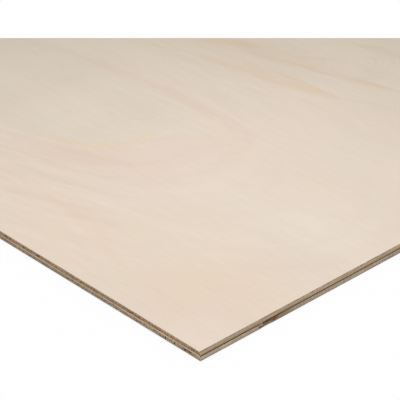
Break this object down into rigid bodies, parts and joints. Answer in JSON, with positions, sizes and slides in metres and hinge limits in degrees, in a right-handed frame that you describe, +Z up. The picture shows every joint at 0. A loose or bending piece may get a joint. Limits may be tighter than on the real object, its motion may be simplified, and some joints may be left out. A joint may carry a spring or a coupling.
{
  "type": "plywood sheet",
  "caption": "Thin flat plywood sheet of cross-laid veneers, with a pale rotary-cut face, sawn square edges and a knot hole opened in the lower crossband at one end.",
  "frame": {"origin": "middle of the underside, on the plane that the sheet lies on", "axes": "+X along the length, which is the grain of the face; +Y across the sheet; +Z up, out of the face"},
  "size_m": [2.44, 1.22, 0.005],
  "materials": {
    "face_wood": "sanded, unfinished pale rotary-cut veneer",
    "crossband_wood": "sawn veneer edge, brown",
    "centre_wood": "sawn veneer edge, light brown",
    "back_wood": "unsanded rotary-cut back veneer"
  },
  "bodies": {
    "root": {"back_veneer": "back_wood", "lower_crossband": "crossband_wood", "centre_ply": "centre_wood", "upper_crossband": "crossband_wood", "face_veneer": "face_wood"}
  },
  "joints": []
}
